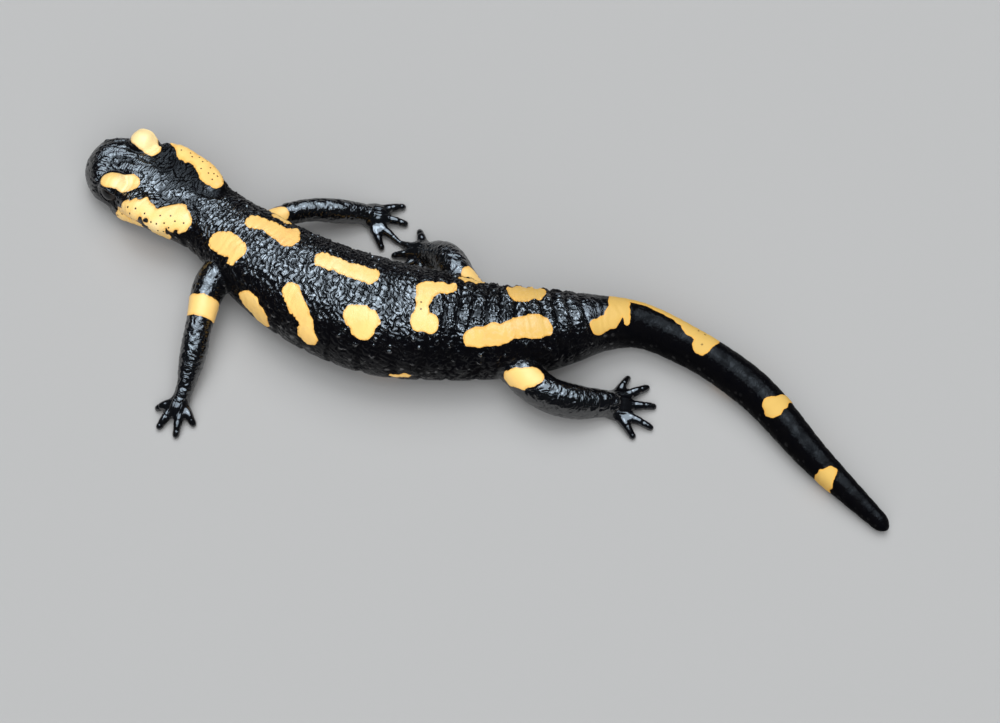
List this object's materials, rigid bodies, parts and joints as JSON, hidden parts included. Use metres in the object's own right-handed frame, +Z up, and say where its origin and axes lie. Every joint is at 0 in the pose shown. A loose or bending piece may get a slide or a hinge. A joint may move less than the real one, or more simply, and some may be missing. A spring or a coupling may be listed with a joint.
{
  "type": "fire salamander",
  "caption": "Life-size still model of a fire salamander lying belly down, black with yellow blotches, body bent and tail curved behind it",
  "frame": {"origin": "on the floor, under the middle of the model's own box", "axes": "+X runs from the head end to the tail end along the longest side, +Y to the animal's right, +Z up from the belly to the back"},
  "size_m": [0.1524, 0.0832, 0.0165],
  "materials": {
    "black_skin": "wet gloss, with yellow blotches in the visual model",
    "eye": "clear wet gloss"
  },
  "bodies": {
    "root": {"head": "black_skin", "lower_jaw": "black_skin", "eye_left": "eye", "eye_right": "eye", "neck": "black_skin", "trunk_chest": "black_skin", "trunk_belly": "black_skin", "trunk_pelvis": "black_skin", "tail_base": "black_skin", "tail_middle": "black_skin", "tail_end": "black_skin", "upper_arm_right": "black_skin", "forearm_right": "black_skin", "hand_right": "black_skin", "upper_arm_left": "black_skin", "forearm_left": "black_skin", "hand_left": "black_skin", "thigh_right": "black_skin", "shank_right": "black_skin", "foot_right": "black_skin", "thigh_left": "black_skin", "shank_left": "black_skin", "foot_left": "black_skin"}
  },
  "joints": []
}
